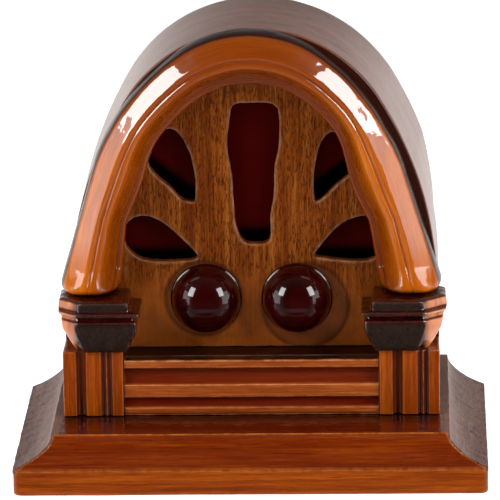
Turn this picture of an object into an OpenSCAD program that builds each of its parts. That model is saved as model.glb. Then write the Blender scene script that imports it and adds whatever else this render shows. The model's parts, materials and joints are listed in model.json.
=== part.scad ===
// Cathedral valve radio, midget table size.
// The front faces -Y and +X is the viewer's right. The origin is on the resting
// plane, under the middle of the plinth.

/* [Plinth] */
// Width of the base board
plinth_w = 320; // [316:1:330]
// Depth of the base board
plinth_d = 212; // [211:1:222]
// Height of the flat band round the base board
band_h = 17.7; // [12:0.1:17.7]
// Height of the plinth's top face
plinth_h = 40.3; // [40:0.1:41]
// How far the cove moulding runs in from each side
cove_side_run = 27.5; // [20:0.5:27.5]
// How far the cove moulding runs in from the front
cove_front_run = 11; // [8:0.5:14]

/* [Cabinet] */
// Half width of the cabinet at its straight sides
shell_half_w = 128; // [127:0.5:130]
// Height of the cabinet's crown
shell_top = 301; // [299:0.5:303]
// Wall thickness of the bent plywood cabinet
shell_t = 10; // [8:0.5:10]
// Front face of the grille panel, and the front edge of the arch
face_y = -14; // [-14.5:0.1:-13.5]
// Back edge of the cabinet
back_y = 99; // [98:0.5:104]
// Thickness of the grille panel
panel_t = 9; // [8:0.5:9]
// Height of the ledge under the grille panel
ledge_z = 79; // [78.5:0.1:79.5]

/* [Front mouldings] */
// Front plane of the pilasters
pilaster_y = -51; // [-52:0.5:-50]
// Front plane of the capitals
capital_y = -58; // [-60:0.5:-56]
// Top of the capitals, where the arch trim stands
capital_top = 121.5; // [121:0.5:123]
// How far the arch trim stands out from the grille panel
trim_d = 27; // [22:0.5:30]
// Outer half width of the arch trim at its feet
trim_half_w = 128; // [126:0.5:129]
// Inner half width of the arch trim at its feet
trim_inner_half_w = 92; // [90:0.5:94]

/* [Knobs] */
// Distance of each knob from the middle
knob_x = 31; // [30.5:0.1:31.5]
// Height of both knobs' shafts
knob_z = 114; // [113.8:0.1:114.5]
// Radius of the domed knobs
knob_r = 24.5; // [20:0.5:26]
// Radius of a control shaft
shaft_r = 3.175; // [3:0.025:3.2]

/* [Loudspeaker] */
// Height of the loudspeaker's axis
speaker_z = 206; // [205:0.5:208]
// Outer radius of the loudspeaker's basket
speaker_r = 60; // [56:0.5:60]

/* [Chassis] */
// Half width of the chassis pan
chassis_half_w = 112; // [110:0.5:114]
// Height of the chassis deck
deck_z = 82; // [80:0.5:82]
// Sheet thickness of the chassis
sheet_t = 1.2; // [1:0.1:1.6]
// Overall height of a valve above the deck
valve_h = 90; // [84:1:90]
// Radius of a valve's bulb
bulb_r = 19.5; // [17:0.5:19.5]

/* [Hidden] */
$fn = 64;

fit = 0.05;
gap = 0.02;
slack = 1;
half_w = plinth_w / 2;
half_d = plinth_d / 2;
core_half_w = half_w - cove_side_run;
core_y = -half_d + cove_front_run;
panel_back = face_y + panel_t;
capital_bottom = 87.7;
capital_shoulder = 101;
cap_bottom = 111;
cloth_half_w = 96;
cloth_bottom = 134;
cloth_t = 0.6;
cloth_back = panel_back + cloth_t;
baffle_t = 5;
baffle_back = cloth_back + baffle_t;
inner_x = 87;

// Chassis pan, clear behind the baffle
pan_front = baffle_back + 3;
pan_back = back_y - 5;
pan_z = plinth_h;

// Where each valve stands on the deck
rf_at = [84, 71];
detector_at = [84, 28];
output_at = [-35, 67];
rectifier_at = [-84, 28];
VALVES = [rf_at, detector_at, output_at, rectifier_at];
// Chassis bolts
bolt_x = 95;
bolt_front_y = 20;
bolt_back_y = 80;
bolt_r = 2.4;
bolt_hole_r = 2.6;
bolt_recess = 7;

socket_t = 2;
valve_base_z = deck_z + socket_t;
valve_base_h = 24;
valve_base_r = 14.5;

// Back face of the knobs, and the front end of the shafts inside them
knob_back = face_y - 1.6;
shaft_front = face_y - 14;

// Tuning condenser, on the right knob's shaft
gang_front = 12;
gang_back = 60;
gang_t = 1.6;
insulator_t = 2.6;
rotor_r = 24;
stator_r = 27;
stator_bore_r = 6.5;
plate_t = 0.8;
plate_pitch = 4;
rotor_count = 10;
first_rotor_y = gang_front + 6;

// Points of an arch's right half from its foot up to the crown. The leg leans in,
// the haunch arc runs on from it, and the crown arc closes it at the middle. All
// three meet without a kink, also when the whole line is moved in by an inset.
function arch_right(foot, lean, haunch_r, crown_r, top, inset = 0) =
    let (
        n = [cos(lean), sin(lean)],
        crown = [0, top - crown_r],
        reach = n * foot,
        spread = haunch_r - crown_r,
        turn = lean - acos((reach - haunch_r - n * crown) / spread),
        haunch = crown + spread * [cos(turn), sin(turn)],
        joint_a = turn + 180,
        steps = 12
    )
    concat(
        [[(reach - inset - n[1] * foot[1]) / n[0], foot[1]]],
        [for (i = [0 : steps])
            let (a = lean + (joint_a - lean) * i / steps)
            haunch + (haunch_r - inset) * [cos(a), sin(a)]],
        [for (i = [1 : steps])
            let (a = joint_a + (90 - joint_a) * i / steps)
            crown + (crown_r - inset) * [cos(a), sin(a)]]
    );

function mirrored(points) = [for (i = [len(points) - 2 : -1 : 0])
    [-points[i][0], points[i][1]]];

function full_arch(right) = concat(right, mirrored(right));

// The cabinet's own arch, carried down its straight sides to the height z
function shell_outline(inset, z) = full_arch(concat(
    [[shell_half_w - inset, z]],
    arch_right([shell_half_w, 110], 0, 272, 103.5, shell_top, inset)
));

function trim_outer(inset) = full_arch(
    arch_right([trim_half_w, capital_top], 16.2, 140, 84, shell_top + 0.7, inset));

function trim_inner(inset) = full_arch(
    arch_right([trim_inner_half_w, capital_top], 8, 130, 62, 264, -inset));

// A smooth closed outline, a quadratic spline inside its control points
function smooth(controls, steps = 5) =
    let (n = len(controls))
    [for (i = [0 : n - 1], k = [0 : steps - 1])
        let (
            t = k / steps,
            a = (controls[i] + controls[(i + 1) % n]) / 2,
            b = controls[(i + 1) % n],
            c = (controls[(i + 1) % n] + controls[(i + 2) % n]) / 2
        )
        (1 - t) * (1 - t) * a + 2 * t * (1 - t) * b + t * t * c];

// Half of the middle slot, and the two leaves on the right side
SLOT_HALF = [[9, 152.5], [11.5, 162], [13.5, 182], [13, 203], [18, 222], [17, 250]];
SLOT = concat(SLOT_HALF, [for (i = [len(SLOT_HALF) - 1 : -1 : 0])
    [-SLOT_HALF[i][0], SLOT_HALF[i][1]]]);
UPPER_LEAF = [[37, 181], [36, 214], [46, 235], [60, 232], [70, 212], [63, 199], [50, 182]];
LOWER_LEAF = [[35, 146], [48, 139.5], [72, 139.5], [88, 149], [88, 166], [76, 173],
    [58, 171], [44, 160]];

// Lays a drawing of x and z on the plane y, with its thickness towards +Y
module upright(y, depth) {
    translate([0, y + depth, 0])
        rotate([90, 0, 0])
            linear_extrude(depth)
                children();
}

// A body of revolution whose axis runs along Y from the point given, front to back
module turned_y(at) {
    translate(at)
        rotate([-90, 0, 0])
            rotate_extrude()
                children();
}

module rod_y(x, z, r, y0, y1) {
    translate([x, y0, z])
        rotate([-90, 0, 0])
            cylinder(r = r, h = y1 - y0);
}

module box(low, high) {
    translate(low)
        cube(high - low);
}

// The four bolts that hold the chassis down through the plinth
module at_each_bolt() {
    for (x = [-bolt_x, bolt_x], y = [bolt_front_y, bolt_back_y])
        translate([x, y, 0])
            children();
}

// Both sides of the cabinet, from the right-hand one
module right_or_left(side) {
    mirror([side < 0 ? 1 : 0, 0, 0])
        children();
}

// ---- Plinth ----

module base_board() {
    edge = 1.5;
    color("#8a4a1a")
        difference() {
            box([-half_w, -half_d, 0], [half_w, half_d, band_h]);
            for (side = [-1, 1])
                translate([side * half_w, 0, band_h])
                    rotate([0, 45, 0])
                        cube([edge, plinth_d + 2, edge], center = true);
            at_each_bolt() {
                translate([0, 0, -slack])
                    cylinder(r = 7, h = bolt_recess + slack);
                translate([0, 0, -slack])
                    cylinder(r = bolt_hole_r, h = band_h + 2 * slack);
            }
        }
}

module plinth_core() {
    color("#5a2410")
        difference() {
            box([-core_half_w, core_y, band_h], [core_half_w, half_d, plinth_h]);
            at_each_bolt()
                translate([0, 0, band_h - slack])
                    cylinder(r = bolt_hole_r, h = plinth_h);
        }
}

// Cove section, run out and rise, with a small fillet strip along its top
function cove_section(run, rise) = concat(
    [[0, 0]],
    [for (a = [0 : 9 : 90]) [run * 0.92 * sin(a), (rise - 2) * (1 - cos(a)) + 1]],
    [[run * 0.92, rise], [run, rise], [run, 0]]
);

module plinth_cove_front() {
    rise = plinth_h - band_h;
    color("#6e2c10")
        intersection() {
            translate([-half_w, -half_d, band_h])
                rotate([90, 0, 90])
                    linear_extrude(plinth_w)
                        polygon(cove_section(cove_front_run, rise));
            translate([0, 0, band_h])
                linear_extrude(rise)
                    polygon([
                        [-half_w, -half_d], [half_w, -half_d],
                        [core_half_w, core_y], [-core_half_w, core_y]
                    ]);
        }
}

module plinth_cove_side() {
    rise = plinth_h - band_h;
    color("#6b5340")
        intersection() {
            translate([half_w, half_d, band_h])
                rotate([90, 0, 0])
                    linear_extrude(plinth_d)
                        mirror([1, 0, 0])
                            polygon(cove_section(cove_side_run, rise));
            translate([0, 0, band_h])
                linear_extrude(rise)
                    polygon([
                        [half_w, -half_d], [half_w, half_d],
                        [core_half_w, half_d], [core_half_w, core_y]
                    ]);
        }
}

module plinth_cove_left() {
    right_or_left(-1)
        plinth_cove_side();
}

module plinth_cove_right() {
    right_or_left(1)
        plinth_cove_side();
}

// ---- Cabinet ----

module cabinet_shell() {
    color("#3a2018")
        upright(face_y, back_y - face_y)
            difference() {
                polygon(shell_outline(0, plinth_h));
                polygon(concat(
                    [[-shell_half_w + shell_t, plinth_h - slack]],
                    [[shell_half_w - shell_t, plinth_h - slack]],
                    shell_outline(shell_t, plinth_h)
                ));
            }
}

// Corner blocks glued between the cabinet's sides and the plinth
module glue_blocks() {
    size = 5.5;
    wall_x = shell_half_w - shell_t;
    color("#a8814f")
        for (side = [-1, 1], y = [25, 60])
            right_or_left(side)
                translate([wall_x, y, plinth_h])
                    rotate([90, 0, 0])
                        linear_extrude(18, center = true)
                            polygon([[0, 0], [-size, 0], [0, size]]);
}

// Both pilasters are cut from one moulding, so their flutes run in the same order
module pilaster(left_x) {
    color("#a2541c")
        difference() {
            box([left_x, pilaster_y, plinth_h],
                [left_x + shell_half_w - inner_x, face_y, capital_bottom]);
            // One wide flute beside the left rib, and a pair of narrow ones
            for (flute = [[12.3, 3.4], [27.7, 1.8], [31.7, 1.8]])
                translate([left_x + flute[0], pilaster_y, plinth_h - slack])
                    cylinder(r = flute[1], h = capital_bottom);
        }
}

module pilaster_left() {
    pilaster(-shell_half_w);
}

module pilaster_right() {
    pilaster(inner_x);
}

module reeded_panel() {
    front = pilaster_y + 2;
    color("#8c3a18")
        difference() {
            box([-inner_x, front, plinth_h], [inner_x, front + 12, ledge_z]);
            for (cove = [[49.4, 3.8], [67.7, 6]])
                translate([-inner_x - slack, front - 1, cove[0]])
                    rotate([0, 90, 0])
                        cylinder(r = cove[1], h = 2 * (inner_x + slack));
        }
}

module ledge_board() {
    color("#3c1810")
        box([-inner_x, pilaster_y + 14, ledge_z - 8], [inner_x, panel_back, ledge_z]);
}

module grille_panel() {
    color("#8a5024")
        difference() {
            upright(face_y, panel_t)
                difference() {
                    polygon(shell_outline(shell_t, ledge_z));
                    polygon(smooth(SLOT));
                    for (side = [-1, 1])
                        mirror([side < 0 ? 1 : 0, 0]) {
                            polygon(smooth(UPPER_LEAF));
                            polygon(smooth(LOWER_LEAF));
                        }
                }
            for (side = [-1, 1])
                rod_y(side * knob_x, knob_z, 6, face_y - slack, panel_back + slack);
        }
}

// The thick arch moulding, rounded over towards both of its edges
module arch_trim() {
    steps = 6;
    overlap = 0.5;
    round_outer = 14;
    round_inner = 11;
    round_d = 17;
    flat_d = trim_d - round_d;
    color("#b4661c")
        for (i = [0 : steps]) {
            low = i == 0 ? 0 : flat_d + round_d * sin(90 * (i - 1) / steps) - overlap;
            high = flat_d + round_d * sin(90 * i / steps);
            ease = 1 - cos(90 * i / steps);
            upright(face_y - high, high - low)
                difference() {
                    polygon(trim_outer(round_outer * ease));
                    polygon(trim_inner(round_inner * ease));
                }
        }
}

// Plan of a capital: a chamfered outer front corner, grown or shrunk all round
module capital_plan(inner, corner, outer, front) {
    polygon([
        [inner, front], [corner, front], [outer, front + outer - corner],
        [outer, face_y], [inner, face_y]
    ]);
}

module capital() {
    thin = 0.5;
    color("#402420") {
        hull() {
            translate([0, 0, capital_bottom])
                linear_extrude(thin)
                    capital_plan(83, 113, 121, capital_y + 8);
            translate([0, 0, capital_shoulder])
                linear_extrude(thin)
                    capital_plan(77, 120, 130, capital_y);
        }
        translate([0, 0, capital_shoulder])
            linear_extrude(cap_bottom - capital_shoulder)
                capital_plan(77, 120, 130, capital_y);
    }
}

module capital_left() {
    right_or_left(-1)
        capital();
}

module capital_right() {
    right_or_left(1)
        capital();
}

module capital_cap() {
    lip_h = 3.4;
    color("#60281a") {
        translate([0, 0, cap_bottom])
            linear_extrude(lip_h)
                capital_plan(74.5, 119, 131, capital_y - 1);
        translate([0, 0, cap_bottom + lip_h])
            linear_extrude(capital_top - cap_bottom - lip_h)
                capital_plan(82, 115, 129, capital_y + 2);
    }
}

module capital_cap_left() {
    right_or_left(-1)
        capital_cap();
}

module capital_cap_right() {
    right_or_left(1)
        capital_cap();
}

// ---- Grille cloth and loudspeaker ----

// A sheet that fits the arch behind the panel, cut back from the cabinet's inside
function arch_sheet(cut_back) = concat(
    [[-cloth_half_w, cloth_bottom], [cloth_half_w, cloth_bottom]],
    [for (p = shell_outline(shell_t + cut_back, cloth_bottom)) if (p[1] > 200) p]
);

module grille_cloth() {
    color("#3a0a0c")
        upright(panel_back, cloth_t)
            polygon(arch_sheet(4));
}

module speaker_baffle() {
    color("#9c7a50")
        difference() {
            upright(cloth_back, baffle_t)
                polygon(arch_sheet(3));
            rod_y(0, speaker_z, speaker_r - 8, cloth_back - slack, baffle_back + slack);
            for (a = [45 : 90 : 315])
                rotate_about_speaker(a)
                    rod_y(screw_circle_r, 0, screw_hole_r, cloth_back - slack, baffle_back + slack);
        }
}

// Turns its children, drawn about the origin, round the loudspeaker's axis
module rotate_about_speaker(a) {
    translate([0, 0, speaker_z])
        rotate([0, a, 0])
            children();
}

basket_t = 1.4;
basket_depth = 40;
screw_circle_r = speaker_r - 2.6;
screw_hole_r = 1.7;
pot_front = baffle_back + basket_depth;
pot_back = pot_front + 36;
pot_r = 28;
pole_r = 12;
coil_r = 13.2;

module speaker_basket() {
    t = basket_t;
    rim = speaker_r;
    cup = speaker_r - 7;
    windows = 4;
    color("#55585a")
        difference() {
            turned_y([0, baffle_back, speaker_z])
                polygon([
                    [cup - 1, 0], [rim, 0], [rim, t], [cup + t, t], [cup + t, 6],
                    [pot_r + t, basket_depth - t], [pot_r + t, basket_depth],
                    [coil_r + 1.2, basket_depth], [coil_r + 1.2, basket_depth - t],
                    [pot_r, basket_depth - t], [cup, 6], [cup - 1, 6 - t]
                ]);
            for (a = [0 : 360 / windows : 359])
                rotate_about_speaker(a)
                    translate([pot_r + 4, baffle_back + 9, -17])
                        cube([speaker_r, basket_depth - 18, 34]);
            for (a = [45 : 90 : 315])
                rotate_about_speaker(a)
                    rod_y(screw_circle_r, 0, screw_hole_r, baffle_back - slack, baffle_back + 3);
        }
}

module speaker_cone() {
    t = 0.8;
    rim = speaker_r - 9.5;
    color("#3c3430")
        turned_y([0, baffle_back + 3, speaker_z])
            polygon([
                [rim - 7, 0], [rim, 0], [rim, t], [rim - 6.5, t],
                [coil_r + t, 30], [coil_r, 30], [coil_r, 30 - 2 * t], [rim - 8, t / 2]
            ]);
}

module voice_coil() {
    color("#b4703c")
        turned_y([0, baffle_back + 31, speaker_z])
            translate([pole_r + 0.5, 0])
                square([coil_r - pole_r - 0.5 - gap, 16]);
}

module dust_cap() {
    rise = 5;
    base_r = coil_r - gap;
    skin_t = 0.8;
    sphere_r = (base_r * base_r + rise * rise) / (2 * rise);
    color("#2c2624")
        turned_y([0, baffle_back + 31, speaker_z])
            difference() {
                intersection() {
                    translate([0, sphere_r - rise])
                        circle(r = sphere_r);
                    translate([0, -rise])
                        square([base_r, rise]);
                }
                translate([0, sphere_r - rise + skin_t])
                    circle(r = sphere_r);
            }
}

module field_pot() {
    wall = 3.5;
    plate = 4;
    color("#3c3c3e")
        turned_y([0, pot_front, speaker_z])
            polygon([
                [coil_r + 1.2, 0], [pot_r, 0], [pot_r, pot_back - pot_front],
                [0, pot_back - pot_front], [0, 0], [pole_r, 0],
                [pole_r, pot_back - pot_front - wall], [pot_r - wall, pot_back - pot_front - wall],
                [pot_r - wall, plate], [coil_r + 1.2, plate]
            ]);
}

module field_coil() {
    color("#7c3a1c")
        turned_y([0, pot_front + 12, speaker_z])
            translate([pole_r + gap, 0])
                square([pot_r - 3.5 - pole_r - 2 * gap, 20]);
}

module output_transformer() {
    foot = pot_r;
    color("#5c4a3c") {
        box([-15, pot_front + 6, speaker_z + foot + 6], [15, pot_front + 16, speaker_z + foot + 30]);
        box([-10, pot_front + 2, speaker_z + foot + 11], [10, pot_front + 20, speaker_z + foot + 25]);
        difference() {
            box([-6, pot_front + 6, speaker_z + foot - 4], [6, pot_front + 16, speaker_z + foot + 6]);
            rod_y(0, speaker_z, foot + gap, pot_front, pot_back);
        }
    }
}

module speaker_screws() {
    head_y = baffle_back + basket_t + gap;
    head_h = 2;
    color("#8c8c88")
        for (a = [45 : 90 : 315])
            rotate_about_speaker(a) {
                rod_y(screw_circle_r, 0, 1.5, cloth_back + gap, head_y + head_h / 2);
                rod_y(screw_circle_r, 0, 2.3, head_y, head_y + head_h);
            }
}

// ---- Chassis ----

aerial_x = 66;
earth_x = 82;
socket_z = 60;
strip_boss_r = 5;
grommet_x = -70;
grommet_hole_r = 6;

module chassis_pan() {
    valve_hole_r = 13;
    color("#8a8d88")
        difference() {
            union() {
                difference() {
                    box([-chassis_half_w, pan_front, pan_z], [chassis_half_w, pan_back, deck_z]);
                    box([-chassis_half_w + sheet_t, pan_front + sheet_t, pan_z - slack],
                        [chassis_half_w - sheet_t, pan_back - sheet_t, deck_z - sheet_t]);
                }
                // Turned-in feet that the bolts pull down on the plinth
                for (side = [-1, 1])
                    right_or_left(side)
                        box([bolt_x - 12, pan_front, pan_z],
                            [chassis_half_w, pan_back, pan_z + sheet_t]);
            }
            for (at = VALVES)
                translate([at[0], at[1], deck_z - 2 * sheet_t])
                    cylinder(r = valve_hole_r, h = 4 * sheet_t);
            at_each_bolt()
                translate([0, 0, pan_z - slack])
                    cylinder(r = bolt_hole_r, h = sheet_t + 2 * slack);
            for (x = [aerial_x, earth_x])
                rod_y(x, socket_z, strip_boss_r + 0.5, pan_back - 2 * sheet_t, pan_back + slack);
            rod_y(grommet_x, socket_z, grommet_hole_r, pan_back - 2 * sheet_t, pan_back + slack);
        }
}

// Each bolt's head sits in its recess in the base, and its nut on the chassis foot
module chassis_bolts() {
    head_h = 3;
    nut_h = 3;
    nut_z = pan_z + sheet_t + gap;
    color("#9a9a94")
        at_each_bolt() {
            translate([0, 0, bolt_recess - gap - head_h])
                cylinder(r = 5, h = head_h);
            translate([0, 0, bolt_recess - head_h])
                cylinder(r = bolt_r, h = nut_z + nut_h + 2 - bolt_recess + head_h);
            translate([0, 0, nut_z])
                cylinder(r = 4.2, h = nut_h, $fn = 6);
        }
}

module valve_sockets() {
    pin_r = 7;
    color("#5a3a20")
        for (at = VALVES)
            translate([at[0], at[1], deck_z])
                difference() {
                    linear_extrude(socket_t)
                        hull() {
                            circle(r = 16);
                            for (side = [-1, 1])
                                translate([side * 18, 0])
                                    circle(r = 4);
                        }
                    for (a = [45 : 90 : 315])
                        rotate([0, 0, a])
                            translate([pin_r, 0, -slack])
                                cylinder(r = 1.8, h = 5);
                }
}

module valve_base_at(at) {
    color("#2a1c14")
        translate([at[0], at[1], valve_base_z]) {
            difference() {
                cylinder(r = valve_base_r, h = valve_base_h);
                translate([0, 0, 3])
                    cylinder(r = valve_base_r - 2, h = valve_base_h);
            }
            for (a = [45 : 90 : 315])
                rotate([0, 0, a])
                    translate([7, 0, -11])
                        cylinder(r = 1.5, h = 12);
        }
}

// Bulb of a valve: a neck in the base, a round shoulder and a domed top
module valve_glass_at(at) {
    t = 0.9;
    neck_r = valve_base_r - 2 - gap;
    foot = valve_base_h - 10;
    top = valve_h - socket_t;
    color([0.75, 0.78, 0.75, 0.4])
        translate([at[0], at[1], valve_base_z])
            rotate_extrude()
                difference() {
                    bulb_half(neck_r, bulb_r, foot, top);
                    bulb_half(neck_r - t, bulb_r - t, foot - slack, top - t);
                }
}

module bulb_half(neck_r, widest, foot, top) {
    shoulder_h = 14;
    dome = widest * 0.9;
    polygon(concat(
        [[0, foot], [neck_r, foot], [neck_r, valve_base_h]],
        [for (a = [0 : 15 : 90])
            [neck_r + (widest - neck_r) * sin(a) * sin(a), valve_base_h + shoulder_h * a / 90]],
        [for (a = [0 : 10 : 90]) [widest * cos(a), top - dome + dome * sin(a)]]
    ));
}

// Anode, stem and top cap lead inside each bulb
module valve_anodes() {
    color("#4a4a4c")
        for (at = VALVES)
            translate([at[0], at[1], valve_base_z]) {
                translate([0, 0, valve_base_h + 12])
                    difference() {
                        cylinder(r = 9, h = 34);
                        translate([0, 0, 1])
                            cylinder(r = 8.2, h = 34);
                    }
                translate([0, 0, 3 + gap])
                    cylinder(r = 3, h = valve_base_h + 10);
            }
}

module rf_valve_glass() {
    valve_glass_at(rf_at);
}

module rf_valve_base() {
    valve_base_at(rf_at);
}

module detector_valve_glass() {
    valve_glass_at(detector_at);
}

module detector_valve_base() {
    valve_base_at(detector_at);
}

module output_valve_glass() {
    valve_glass_at(output_at);
}

module output_valve_base() {
    valve_base_at(output_at);
}

module rectifier_valve_glass() {
    valve_glass_at(rectifier_at);
}

module rectifier_valve_base() {
    valve_base_at(rectifier_at);
}

transformer_at = [-84, 71];

module transformer_core() {
    color("#4c4a48")
        translate([transformer_at[0], transformer_at[1], deck_z])
            difference() {
                box([-22, -8, 0], [22, 8, 44]);
                for (side = [-1, 1])
                    translate([side * 11.5, 0, 22])
                        cube([9, 20, 24], center = true);
            }
}

module transformer_windings() {
    color("#5e2a16")
        translate([transformer_at[0], transformer_at[1], deck_z + 22])
            difference() {
                cube([31, 34, 23.5], center = true);
                cube([14 + 2 * gap, 40, 30], center = true);
                cube([13.5, 16 + 2 * gap, 40], center = true);
                for (side = [-1, 1])
                    translate([side * 18, 0, 0])
                        cube([4, 16 + 2 * gap, 40], center = true);
            }
}

module filter_capacitors() {
    color("#a8a8a4")
        for (at = [[-12, 35], [-46, 35]])
            translate([at[0], at[1], deck_z]) {
                cylinder(r = 10.5, h = 2);
                cylinder(r = 9.5, h = 52);
            }
}

module coil_cans() {
    color("#b8bab8")
        for (at = [[2, 78], [31, 78]])
            translate([at[0], at[1], deck_z])
                difference() {
                    cylinder(r = 13, h = 56);
                    translate([0, 0, -slack])
                        cylinder(r = 12.2, h = 56);
                }
}

module aerial_earth_strip() {
    hole_r = 2.05;
    color("#4a2c18")
        difference() {
            union() {
                box([aerial_x - 9, pan_back + gap, socket_z - 8], [earth_x + 9, pan_back + 3, socket_z + 8]);
                for (x = [aerial_x, earth_x])
                    rod_y(x, socket_z, 5, pan_back - 7, pan_back + 5);
            }
            for (x = [aerial_x, earth_x])
                rod_y(x, socket_z, hole_r, pan_back - 8, pan_back + 6);
        }
}

module mains_grommet() {
    color("#222222")
        turned_y([grommet_x, pan_back, socket_z])
            polygon([
                [4, 2.5], [8, 2.5], [8, gap], [6 - gap, gap], [6 - gap, -sheet_t - gap],
                [8, -sheet_t - gap], [8, -3.7], [4, -3.7]
            ]);
}

// ---- Tuning condenser ----

module gang_frame() {
    t = gang_t;
    half = stator_r + 1.5;
    foot_z = deck_z;
    color("#a4a49c")
        difference() {
            union() {
                box([knob_x - half, gang_front, foot_z], [knob_x + half, gang_back + t, foot_z + t]);
                for (y = [gang_front, gang_back])
                    upright(y, t)
                        polygon([
                            [knob_x - half, foot_z], [knob_x + half, foot_z],
                            [knob_x + half, foot_z + 14], [knob_x + 9, knob_z + 10],
                            [knob_x - 9, knob_z + 10], [knob_x - half, foot_z + 14]
                        ]);
            }
            rod_y(knob_x, knob_z, shaft_r + fit, gang_front - slack, gang_back + 2 * t);
        }
}

// A half disc on the left or right of the shaft, thin along Y
module half_plate(y, r, bore, side) {
    upright(y, plate_t)
        translate([knob_x, knob_z])
            difference() {
                circle(r = r);
                circle(r = bore);
                translate([side > 0 ? -2 * r : 0, -2 * r])
                    square([2 * r, 4 * r]);
            }
}

module stator_plates() {
    color("#c0c0b8") {
        for (i = [0 : rotor_count - 2])
            half_plate(first_rotor_y + plate_pitch * (i + 0.5), stator_r, stator_bore_r, -1);
        for (a = [-30, 0, 30])
            translate([knob_x, 0, knob_z])
                rotate([0, a, 0])
                    rod_y(-stator_r + 1, 0, 1.3, gang_front + gang_t + insulator_t,
                        gang_back - insulator_t);
    }
}

module stator_insulators() {
    color("#d8d0b8")
        for (y = [gang_front + gang_t, gang_back - insulator_t])
            difference() {
                box([knob_x - stator_r - 1.5, y, deck_z + gang_t],
                    [knob_x - stator_r + 6, y + insulator_t, knob_z + 2]);
                rod_y(knob_x, knob_z, stator_r - 4, y - slack, y + insulator_t + slack);
            }
}

module rotor_plates() {
    color("#b8b8ae")
        difference() {
            union() {
                for (i = [0 : rotor_count - 1])
                    half_plate(first_rotor_y + plate_pitch * i, rotor_r, shaft_r, -1);
                rod_y(knob_x, knob_z, 5.6, first_rotor_y - 1.5,
                    first_rotor_y + plate_pitch * (rotor_count - 1) + 2.3);
            }
            rod_y(knob_x, knob_z, shaft_r + gap, gang_front, gang_back);
        }
}

module tuning_shaft() {
    color("#c8b070")
        rod_y(knob_x, knob_z, shaft_r, shaft_front, gang_back + 3);
}

// ---- Knobs and volume control ----

set_screw_r = 1.5;
set_screw_h = 6;
set_screw_y = knob_back - 5;

// A glossy dome on a short rim, bored from behind for the shaft
module knob_at(x) {
    bore_d = knob_back - shaft_front + 0.6;
    color("#2c0406")
        difference() {
            turned_y([x, knob_back, knob_z])
                polygon(concat(
                    [[0, 0], [knob_r - 2, 0], [knob_r, -1.5]],
                    [for (a = [0 : 6 : 90]) [knob_r * cos(a), -2.5 - (knob_r - 1.5) * sin(a)]]
                ));
            rod_y(x, knob_z, shaft_r + gap, knob_back - bore_d, knob_back + slack);
            translate([x, set_screw_y, knob_z])
                rotate([180, 0, 0])
                    cylinder(r = set_screw_r + gap, h = knob_r + 5);
        }
}

module set_screw_at(x) {
    color("#70706c")
        translate([x, set_screw_y, knob_z - shaft_r - gap - set_screw_h])
            cylinder(r = set_screw_r, h = set_screw_h);
}

module tuning_knob() {
    knob_at(knob_x);
}

module volume_knob() {
    knob_at(-knob_x);
}

module tuning_knob_screw() {
    set_screw_at(knob_x);
}

module volume_knob_screw() {
    set_screw_at(-knob_x);
}

pot_y = 8.5;
pot_depth = 15;

module volume_shaft() {
    color("#c8b070") {
        rod_y(-knob_x, knob_z, shaft_r, shaft_front, pot_y + pot_depth - 2.5);
        // Wiper arm on the shaft's inner end
        box([-knob_x - 2, pot_y + pot_depth - 5, knob_z],
            [-knob_x + 2, pot_y + pot_depth - 3.5, knob_z + 12]);
    }
}

// Can of the volume control, hollow, with its threaded bush towards the front
module volume_pot() {
    can_r = 16;
    color("#5c4634")
        turned_y([-knob_x, pot_y, knob_z])
            polygon([
                [shaft_r + fit, -6], [4.8, -6], [4.8, 0], [can_r, 0], [can_r, pot_depth],
                [0, pot_depth], [0, pot_depth - 1.5], [can_r - 1.5, pot_depth - 1.5],
                [can_r - 1.5, 1.5], [shaft_r + fit, 1.5]
            ]);
}

module volume_bracket() {
    t = 1.6;
    color("#92948e")
        difference() {
            union() {
                box([-knob_x - 14, pot_y - t - gap, deck_z], [-knob_x + 14, pot_y - gap, knob_z + 11]);
                box([-knob_x - 14, pot_y - t - gap, deck_z], [-knob_x + 14, pot_y + 9, deck_z + t]);
            }
            rod_y(-knob_x, knob_z, 4.8 + gap, pot_y - 5, pot_y + slack);
        }
}

module panel_bushings() {
    color("#b08c48")
        for (side = [-1, 1])
            turned_y([side * knob_x, face_y, knob_z])
                polygon([
                    [shaft_r + fit, -1], [8, -1], [8, 0], [6 - gap, 0],
                    [6 - gap, panel_t + 2], [shaft_r + fit, panel_t + 2]
                ]);
}

module felt_washers() {
    color("#3a1c1c")
        for (side = [-1, 1])
            turned_y([side * knob_x, face_y - 1.1, knob_z])
                translate([8 + gap, 0])
                    square([9, 1.1]);
}

base_board();
plinth_core();
plinth_cove_front();
plinth_cove_left();
plinth_cove_right();
cabinet_shell();
glue_blocks();
pilaster_left();
pilaster_right();
reeded_panel();
ledge_board();
grille_panel();
arch_trim();
capital_left();
capital_right();
capital_cap_left();
capital_cap_right();
grille_cloth();
speaker_baffle();
speaker_basket();
speaker_cone();
voice_coil();
dust_cap();
field_pot();
field_coil();
output_transformer();
speaker_screws();
chassis_pan();
chassis_bolts();
gang_frame();
stator_plates();
stator_insulators();
rotor_plates();
tuning_shaft();
tuning_knob();
tuning_knob_screw();
volume_knob();
volume_knob_screw();
volume_shaft();
volume_pot();
volume_bracket();
panel_bushings();
felt_washers();
valve_sockets();
valve_anodes();
rf_valve_glass();
rf_valve_base();
detector_valve_glass();
detector_valve_base();
output_valve_glass();
output_valve_base();
rectifier_valve_glass();
rectifier_valve_base();
transformer_core();
transformer_windings();
filter_capacitors();
coil_cans();
aerial_earth_strip();
mains_grommet();
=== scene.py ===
import json
import math

import bmesh
import bpy
from mathutils import Matrix, Vector, noise


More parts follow.
